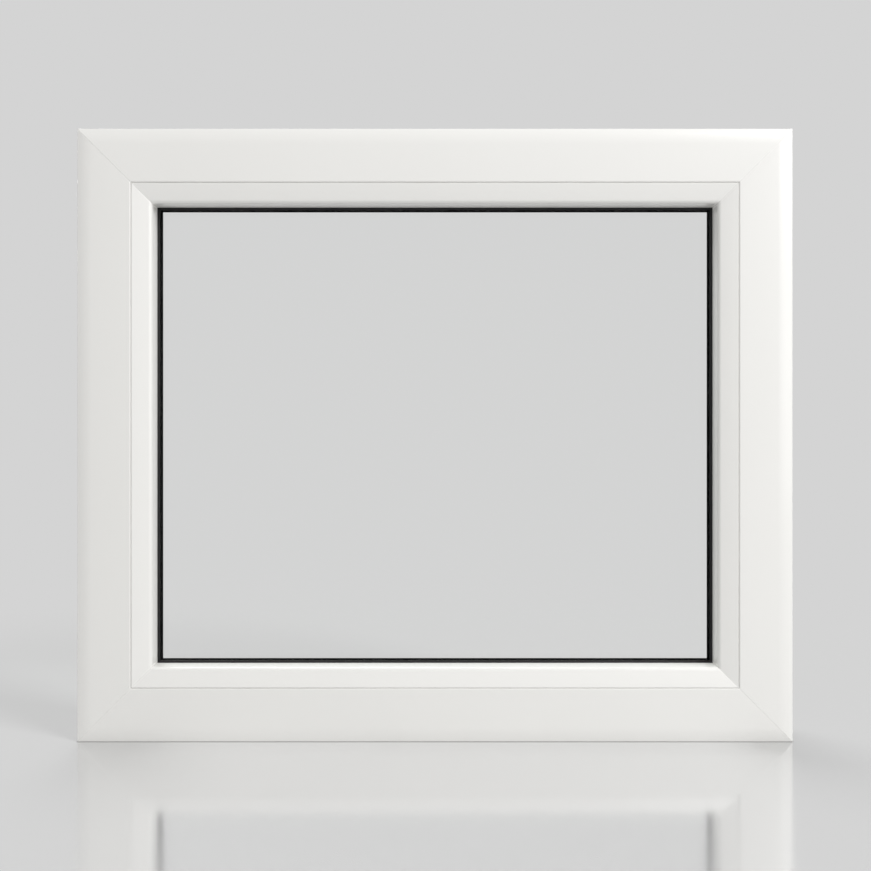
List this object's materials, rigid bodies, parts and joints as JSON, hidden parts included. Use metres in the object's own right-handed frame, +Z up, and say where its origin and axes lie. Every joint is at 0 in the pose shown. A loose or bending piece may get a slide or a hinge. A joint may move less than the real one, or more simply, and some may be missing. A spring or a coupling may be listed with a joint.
{
  "type": "fixed picture window",
  "caption": "Fixed white PVC picture window: mitred hollow frame with soft outer edges, sloped clip-in glazing beads, black seals and a sealed double-glazed unit.",
  "frame": {"origin": "on the underside of the sill, at the middle of the window's width and of the frame's depth", "axes": "+Z up, +X to the right seen from the room, -Y out of the room-side face with the beads, +Y out of the outer face"},
  "size_m": [0.7, 0.075, 0.6],
  "materials": {
    "frame_pvc": "white PVC extrusion, smooth satin gloss",
    "bead_pvc": "white PVC extrusion, smooth satin gloss",
    "seal_rubber": "black sealing rubber, matt",
    "pane_glass": "clear float glass",
    "spacer_plastic": "dark warm-edge spacer, matt",
    "edge_sealant": "dark two-part sealant, matt",
    "packer_plastic": "moulded plastic, matt",
    "cap_plastic": "white moulded plastic, satin"
  },
  "bodies": {
    "root": {"sill_frame_member": "frame_pvc", "head_frame_member": "frame_pvc", "left_frame_member": "frame_pvc", "right_frame_member": "frame_pvc", "sill_glazing_bead": "bead_pvc", "head_glazing_bead": "bead_pvc", "left_glazing_bead": "bead_pvc", "right_glazing_bead": "bead_pvc", "sill_bead_seal": "seal_rubber", "head_bead_seal": "seal_rubber", "left_bead_seal": "seal_rubber", "right_bead_seal": "seal_rubber", "sill_outer_seal": "seal_rubber", "head_outer_seal": "seal_rubber", "left_outer_seal": "seal_rubber", "right_outer_seal": "seal_rubber", "inner_pane": "pane_glass", "outer_pane": "pane_glass", "sill_spacer_bar": "spacer_plastic", "head_spacer_bar": "spacer_plastic", "left_spacer_bar": "spacer_plastic", "right_spacer_bar": "spacer_plastic", "sill_edge_sealant": "edge_sealant", "head_edge_sealant": "edge_sealant", "left_edge_sealant": "edge_sealant", "right_edge_sealant": "edge_sealant", "sill_packers": "packer_plastic", "head_packers": "packer_plastic", "left_packers": "packer_plastic", "right_packers": "packer_plastic", "left_drain_cap": "cap_plastic", "right_drain_cap": "cap_plastic"}
  },
  "joints": []
}
